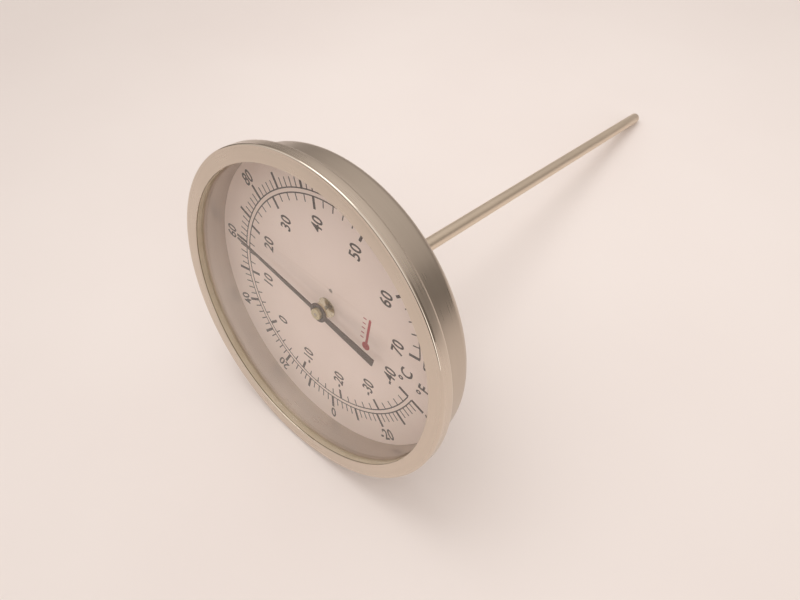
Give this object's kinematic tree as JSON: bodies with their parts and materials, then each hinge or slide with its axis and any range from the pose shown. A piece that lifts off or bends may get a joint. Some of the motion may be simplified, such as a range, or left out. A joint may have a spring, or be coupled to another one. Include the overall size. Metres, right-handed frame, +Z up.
{
  "type": "dial thermometer",
  "caption": "Round dial thermometer with a back connection: a needle on a two-scale dial turns with a bimetal coil inside a long thin stem.",
  "frame": {"origin": "centre of the bottom of the object's box, on the table that it lies on", "axes": "+Z up from the table; +Y along the table from the dial towards the tip of the stem; the dial faces -Y and is tipped back about 12 degrees; +X to the right as the dial is looked at"},
  "size_m": [0.1358, 0.3134, 0.1338],
  "materials": {
    "bezel_steel": "satin polished stainless steel",
    "gasket_rubber": "translucent yellowish silicone rubber",
    "window_glass": "clear float glass",
    "case_steel": "drawn stainless steel, brushed round the axis",
    "dial_enamel": "white baked enamel on aluminium, printed scales",
    "polished_brass": "polished brass",
    "turned_brass": "turned brass",
    "turned_steel": "turned steel",
    "black_rubber": "matt black rubber",
    "connection_steel": "turned and milled stainless steel",
    "stem_steel": "drawn stainless tube, satin",
    "guide_plastic": "white bearing plastic",
    "bimetal_strip": "rolled bimetal strip",
    "pointer_enamel": "dark grey painted aluminium"
  },
  "bodies": {
    "case": {"bezel_ring": "bezel_steel", "window_gasket": "gasket_rubber", "window_glass": "window_glass", "case_cup": "case_steel", "dial_plate": "dial_enamel", "dial_bushing": "polished_brass", "case_locknut": "turned_brass", "dial_locating_pin": "turned_steel", "case_seal": "black_rubber", "connection": "connection_steel", "stem_tube": "stem_steel", "stem_tip_plug": "stem_steel", "upper_shaft_guide": "guide_plastic", "middle_shaft_guide": "guide_plastic", "lower_shaft_guide": "guide_plastic", "coil_anchor": "turned_steel", "bimetal_coil": "bimetal_strip"},
    "pointer": {"pointer": "pointer_enamel", "pointer_hub": "polished_brass", "pointer_shaft": "turned_steel", "coil_collar": "turned_steel"}
  },
  "joints": [
    {"name": "pointer_turn", "type": "hinge", "parent": "case", "child": "pointer", "pos_m": [0, -0.13238, 0.06534], "axis": [0, -0.9772, 0.2125], "range_deg": [-160, 174], "stiffness_Nm_per_rad": 0.0005}
  ]
}
